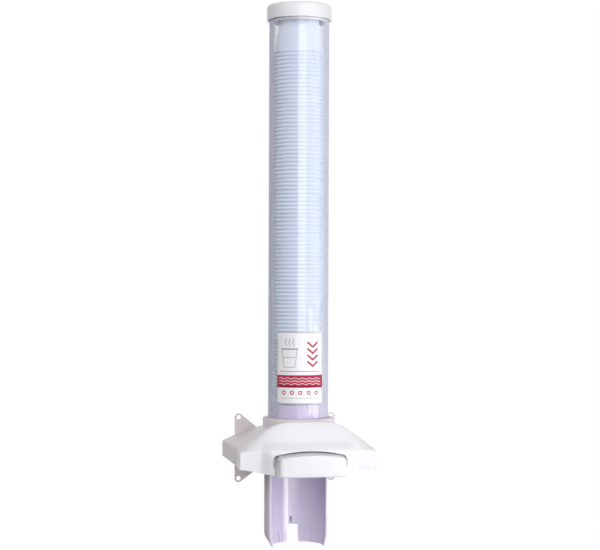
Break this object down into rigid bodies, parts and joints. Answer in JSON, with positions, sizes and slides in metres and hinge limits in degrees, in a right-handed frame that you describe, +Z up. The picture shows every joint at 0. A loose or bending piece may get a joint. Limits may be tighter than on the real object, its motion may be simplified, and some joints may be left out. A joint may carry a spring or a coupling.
{
  "type": "cup dispenser",
  "caption": "Wall-mounted dispenser for small cups: clear tube magazine with slip-on cap, moulded base with push button and sliding gate, and an open chute below.",
  "frame": {"origin": "on the wall plane at the back of the base, on the centre line, halfway between the upper and lower screw ears", "axes": "+Z up along the tube, +Y into the wall, so the button faces -Y; +X is the user's right"},
  "size_m": [0.1292, 0.1386, 0.512],
  "materials": {
    "housing_plastic": "fine moulded texture, off-white",
    "cover_plastic": "smooth moulded white",
    "chute_plastic": "smooth moulded, slightly translucent white",
    "inner_plastic": "plain moulded grey-white",
    "clear_plastic": "clear polished tube",
    "cup_plastic": "thin thermoformed, pale blue-white",
    "spring_steel": "bright drawn wire",
    "screw_steel": "zinc plated"
  },
  "bodies": {
    "root": {"rear_housing": "housing_plastic", "front_cover": "cover_plastic", "gate_frame": "inner_plastic", "guide_sleeve": "chute_plastic", "magazine_tube": "clear_plastic", "cup_chute": "chute_plastic", "return_spring_left": "spring_steel", "return_spring_right": "spring_steel", "spring_rod_left": "spring_steel", "spring_rod_right": "spring_steel", "frame_screw_1": "screw_steel", "frame_screw_2": "screw_steel", "frame_screw_3": "screw_steel", "frame_screw_4": "screw_steel", "chute_screw_1": "screw_steel", "chute_screw_2": "screw_steel", "cover_screw_1": "screw_steel", "cover_screw_2": "screw_steel", "cup_ready": "cup_plastic", "cup_waiting": "cup_plastic", "cup_stack": "cup_plastic", "cup_top": "cup_plastic"},
    "button": {"push_button": "cover_plastic", "shuttle_gate": "inner_plastic", "button_screw_1": "screw_steel", "button_screw_2": "screw_steel"},
    "cap": {"tube_cap": "cover_plastic"}
  },
  "joints": [
    {"name": "button_press", "type": "slide", "parent": "root", "child": "button", "axis": [0, 1, 0], "range_m": [0, 0.015], "stiffness_N_per_m": 300, "springref_m": -0.01, "deforming": ["return_spring_left", "return_spring_right"]},
    {"name": "cap_lift", "type": "slide", "parent": "root", "child": "cap", "axis": [0, 0, 1], "range_m": [0, 0.04]}
  ]
}
